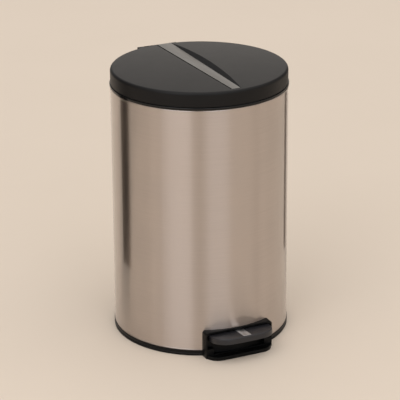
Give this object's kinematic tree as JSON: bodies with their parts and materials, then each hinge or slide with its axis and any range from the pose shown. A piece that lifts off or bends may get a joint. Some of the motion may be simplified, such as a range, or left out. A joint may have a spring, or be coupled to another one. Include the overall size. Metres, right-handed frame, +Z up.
{
  "type": "pedal trash can",
  "caption": "Round steel pedal bin with a black hinged lid, front foot pedal, lever and lift rod linkage, and a lift-out inner bucket with a wire bail.",
  "frame": {"origin": "on the can's axis at floor level, in the plane of the base ring's underside", "axes": "+Z up along the can's axis, -Y towards the pedal, +Y towards the lid's hinge, +X to the right as seen from the pedal side"},
  "size_m": [0.292, 0.3578, 0.4545],
  "materials": {
    "brushed_shell": "brushed round the can",
    "collar_plastic": "gloss",
    "base_plastic": "satin",
    "housing_plastic": "satin",
    "lid_plastic": "satin",
    "pedal_plastic": "satin",
    "bucket_plastic": "fine moulded grain",
    "liner_plastic": "fine moulded grain",
    "guide_plastic": "natural nylon",
    "rubber": "matt",
    "strip_metal": "fine brushed, grey",
    "plain_steel": "zinc plated",
    "bracket_metal": "black powder coat",
    "lever_steel": "galvanised"
  },
  "bodies": {
    "can": {"outer_shell": "brushed_shell", "top_collar": "collar_plastic", "base_ring": "base_plastic", "base_pan": "base_plastic", "floor_pads": "rubber", "lever_pivot_pin": "plain_steel", "pivot_clips": "plain_steel", "pedal_housing": "housing_plastic", "housing_screws": "plain_steel", "hinge_housing": "housing_plastic", "hinge_pin": "plain_steel", "hinge_screws": "plain_steel", "rod_guide_lower": "guide_plastic", "rod_guide_upper": "guide_plastic"},
    "lid": {"lid_shell": "lid_plastic", "lid_inlay": "strip_metal", "lid_liner": "liner_plastic", "liner_screws": "plain_steel", "lid_bumpers": "rubber", "lid_hinge_bracket": "bracket_metal", "bracket_screws": "plain_steel"},
    "pedal": {"pedal_lever": "lever_steel", "pedal_pad": "pedal_plastic", "pedal_inlay": "strip_metal", "pedal_screws": "plain_steel"},
    "rod": {"lift_rod": "plain_steel", "rod_clips": "plain_steel"},
    "bucket": {"inner_bucket": "bucket_plastic"},
    "bail": {"bail_wire": "plain_steel", "bail_grip": "bucket_plastic"}
  },
  "joints": [
    {"name": "lid_hinge", "type": "hinge", "parent": "can", "child": "lid", "pos_m": [0, 0.1575, 0.428], "axis": [-1, 0, 0], "range_deg": [0, 75]},
    {"name": "pedal_pivot", "type": "hinge", "parent": "can", "child": "pedal", "pos_m": [0, -0.062, 0.0318], "axis": [1, 0, 0], "range_deg": [0, 8.3]},
    {"name": "rod_lift", "type": "slide", "parent": "can", "child": "rod", "axis": [0, 0, 1], "range_m": [0, 0.02916]},
    {"name": "bucket_lift", "type": "slide", "parent": "can", "child": "bucket", "axis": [0, 0, 1], "range_m": [0, 0.004]},
    {"name": "bail_swing", "type": "hinge", "parent": "bucket", "child": "bail", "pos_m": [0, 0, 0.4083], "axis": [-1, 0, 0], "range_deg": [0, 5]}
  ],
  "couplings": [
    {"joint": "pedal_pivot", "follows": "lid_hinge", "ratio": 0.1107},
    {"joint": "rod_lift", "follows": "lid_hinge", "m_per_rad": 0.022275}
  ]
}
